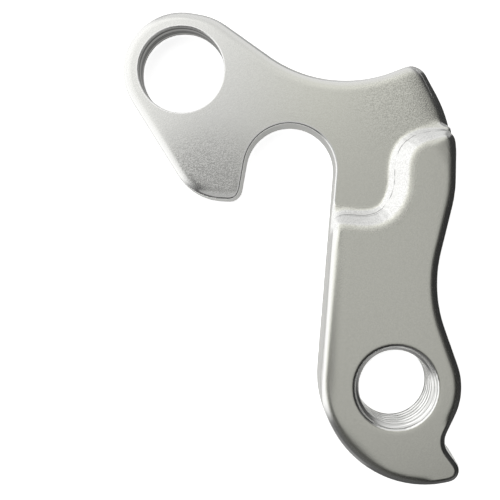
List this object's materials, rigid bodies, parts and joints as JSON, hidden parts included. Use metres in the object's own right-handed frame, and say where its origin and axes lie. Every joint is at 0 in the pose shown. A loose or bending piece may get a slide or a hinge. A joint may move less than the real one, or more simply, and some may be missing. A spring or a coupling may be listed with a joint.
{
  "type": "derailleur hanger",
  "caption": "Flat metal hanger plate with a bolt eye and an open axle slot, stepping up to a curved arm with a threaded derailleur eye and a small stop tab.",
  "frame": {"origin": "axis of the bolt eye at the back face; the part lies on its back face", "axes": "+Z along the bolt eye's axis, out of the front with the raised arm; +Y up the hanger, away from the arm's foot; +X towards the arm"},
  "size_m": [0.0427, 0.0594, 0.0065],
  "materials": {
    "aluminium": "satin, tumbled"
  },
  "bodies": {
    "root": {"derailleur_hanger": "aluminium"}
  },
  "joints": []
}
